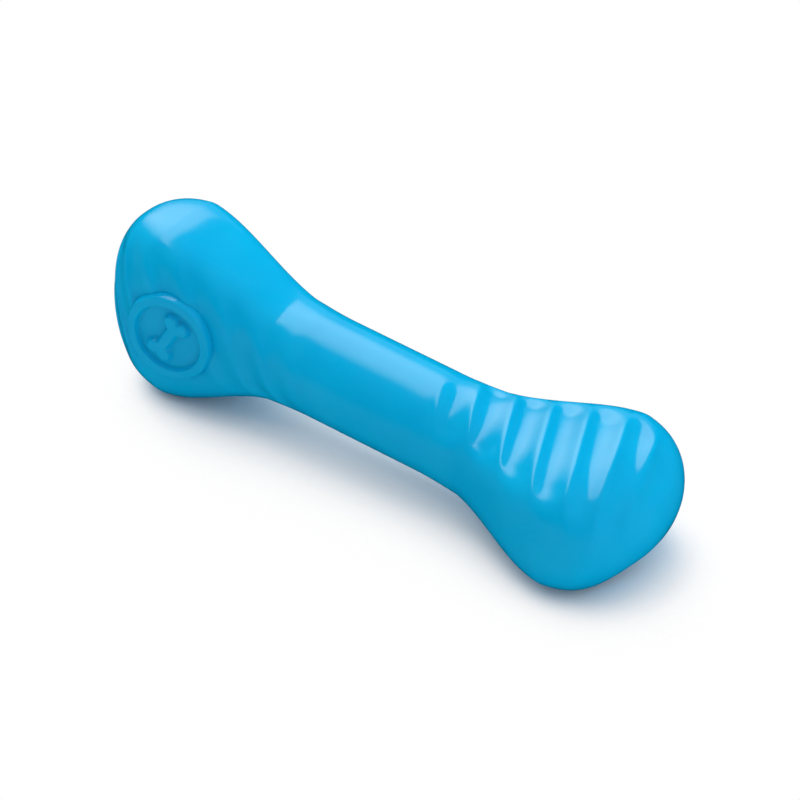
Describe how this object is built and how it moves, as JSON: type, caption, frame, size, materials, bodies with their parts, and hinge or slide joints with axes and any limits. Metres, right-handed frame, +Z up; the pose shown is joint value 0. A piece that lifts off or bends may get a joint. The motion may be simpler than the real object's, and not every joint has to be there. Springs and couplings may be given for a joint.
{
  "type": "rubber chew toy",
  "caption": "Bone-shaped rubber chew toy: a round shaft with a flat, rippled knuckle at each end, turned a quarter turn apart, and a plain raised badge on one of them.",
  "frame": {"origin": "middle of the bone's length and width, on the floor it rests on", "axes": "+X along the bone, from the knuckle that stands on edge to the knuckle that lies flat; +Z up; the badge faces -Y"},
  "size_m": [0.2096, 0.063, 0.0627],
  "materials": {
    "skin_rubber": "smooth satin moulded rubber, bright blue",
    "core_rubber": "smooth moulded rubber, blue, sealed inside the skin",
    "badge_rubber": "smooth satin moulded rubber, bright blue"
  },
  "bodies": {
    "root": {"outer_skin": "skin_rubber", "core": "core_rubber", "end_badge": "badge_rubber"}
  },
  "joints": []
}
